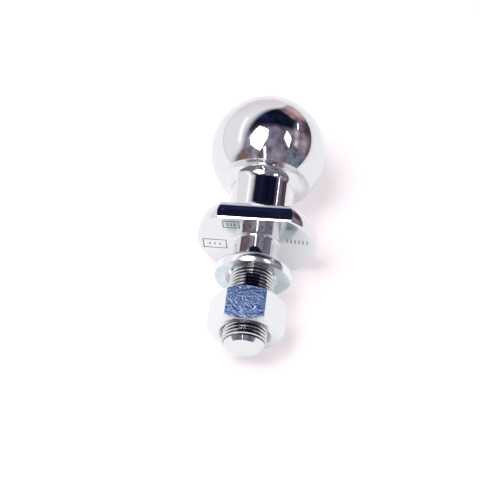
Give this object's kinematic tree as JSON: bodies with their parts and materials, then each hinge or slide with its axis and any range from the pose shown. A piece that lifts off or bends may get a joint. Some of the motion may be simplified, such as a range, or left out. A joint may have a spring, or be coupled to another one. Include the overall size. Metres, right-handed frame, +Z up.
{
  "type": "tow ball",
  "caption": "Chrome-plated tow ball with wrench-flat flange and threaded shank, with split lock washer and hex nut, lying on its side.",
  "frame": {"origin": "centre of the flange's seat face, on the shank axis", "axes": "+Z up from the ground that the part lies on; +Y along the shank towards the ball, with the shank's axis raised 6.5 degrees above +Y at the ball end; +X to the right when looking along +Y"},
  "size_m": [0.0518, 0.1233, 0.0508],
  "materials": {
    "chrome_plate": "polished chrome plate",
    "zinc_plate_washer": "bright zinc plate with a faint blue-green tint",
    "zinc_plate_nut": "bright zinc plate, slightly rough"
  },
  "bodies": {
    "stud": {"ball_stud": "chrome_plate"},
    "washer": {"lock_washer": "zinc_plate_washer"},
    "nut": {"hex_nut": "zinc_plate_nut"}
  },
  "joints": [
    {"name": "washer_travel", "type": "slide", "parent": "stud", "child": "washer", "axis": [0, -0.9937, -0.1124], "range_m": [-0.00953, 0.02381]},
    {"name": "nut_turn", "type": "hinge", "parent": "washer", "child": "nut", "pos_m": [0, -0.03609, -0.00408], "axis": [0, -0.9937, -0.1124], "range_deg": [-2160, 5400]}
  ],
  "couplings": [
    {"joint": "washer_travel", "follows": "nut_turn", "m_per_rad": 0.00025266}
  ]
}
